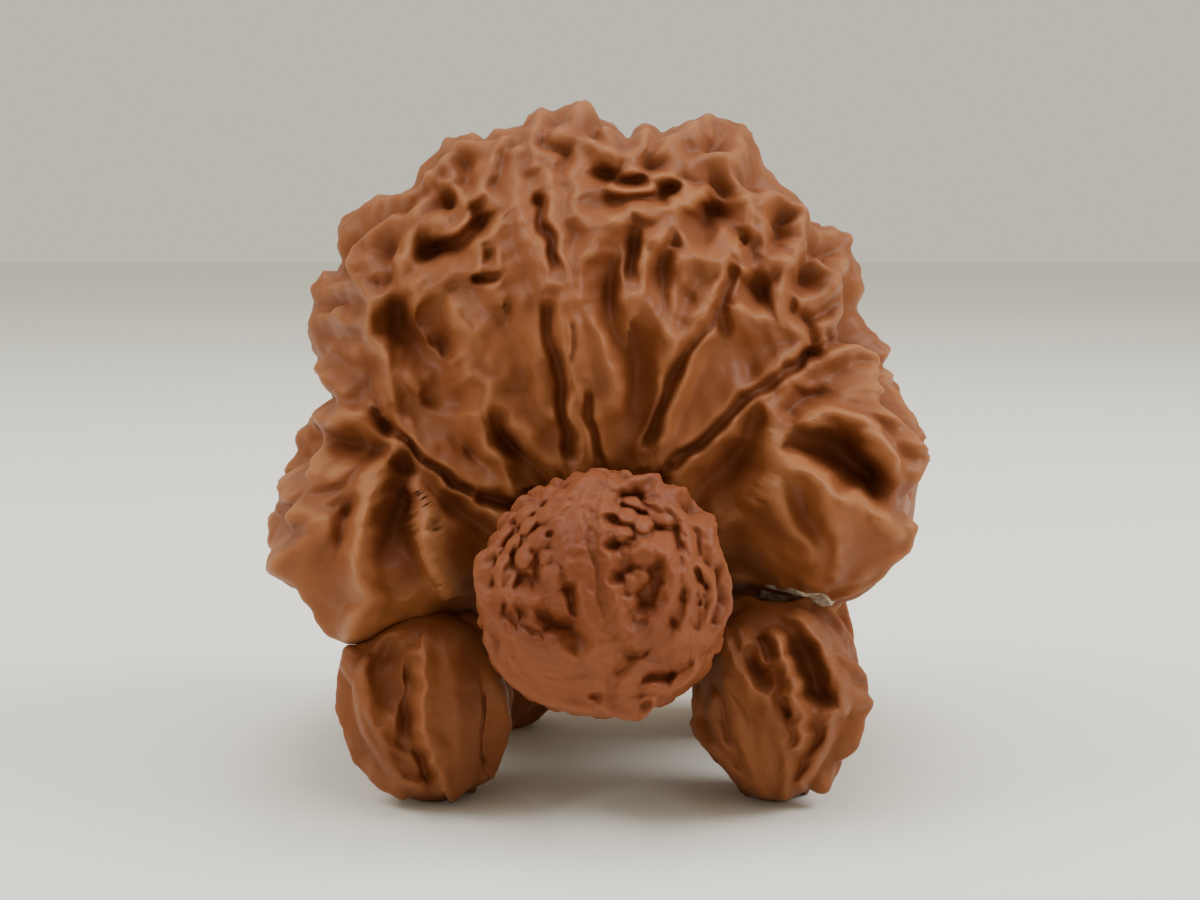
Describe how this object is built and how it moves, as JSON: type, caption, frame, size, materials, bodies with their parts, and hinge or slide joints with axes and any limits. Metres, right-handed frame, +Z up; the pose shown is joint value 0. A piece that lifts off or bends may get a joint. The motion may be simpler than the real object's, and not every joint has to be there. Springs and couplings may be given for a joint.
{
  "type": "walnut animal figurine",
  "caption": "Turtle-like animal figure glued together from polished walnuts: a large ridged nut as body, a round nut as head and small nuts as feet.",
  "frame": {"origin": "middle of the figure's outer box at floor level", "axes": "+Z up, the head points to -Y, +X is the viewer's right when the figure is seen from the front"},
  "size_m": [0.057, 0.066, 0.0561],
  "materials": {
    "body_shell": "polished, waxy, dark in the hollows",
    "head_shell": "polished, slightly redder",
    "foot_shell": "polished, waxy",
    "glue": "clear hardened glue, grey-brown over the shell"
  },
  "bodies": {
    "root": {"body_nut": "body_shell", "head_nut": "head_shell", "foot_front_left": "foot_shell", "foot_front_right": "foot_shell", "foot_rear_left": "foot_shell", "foot_rear_right": "foot_shell", "glue_head": "glue", "glue_front_left": "glue", "glue_front_right": "glue", "glue_rear_left": "glue", "glue_rear_right": "glue"}
  },
  "joints": []
}
